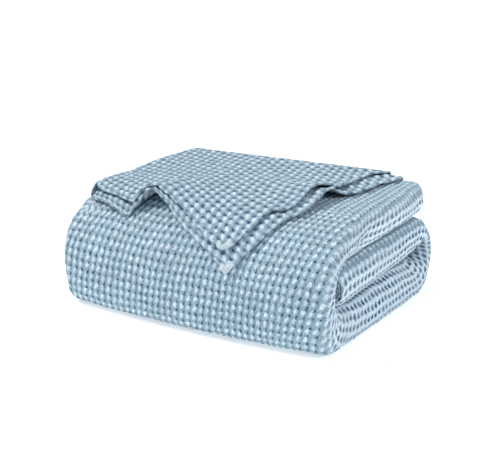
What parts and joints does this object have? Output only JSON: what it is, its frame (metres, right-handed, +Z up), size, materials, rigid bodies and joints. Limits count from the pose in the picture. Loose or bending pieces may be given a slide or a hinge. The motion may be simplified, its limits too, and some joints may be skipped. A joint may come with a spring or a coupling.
{
  "type": "folded waffle weave cotton blanket",
  "caption": "Waffle weave cotton blanket folded into a thick rectangular bundle, its front a single round fold, with two hemmed corners laid back over the top and hanging over the front.",
  "frame": {"origin": "centre of the bounding box at the level of the flat underside that the bundle rests on", "axes": "+X along the long front of the bundle, towards the end that shows the folds; +Y from the round front fold to the back; +Z up"},
  "size_m": [0.3996, 0.323, 0.1778],
  "materials": {
    "waffle_cotton": "pale blue waffle weave cotton, matte, with deep square cells and flat stitched hems"
  },
  "bodies": {
    "root": {"blanket": "waffle_cotton"}
  },
  "joints": []
}
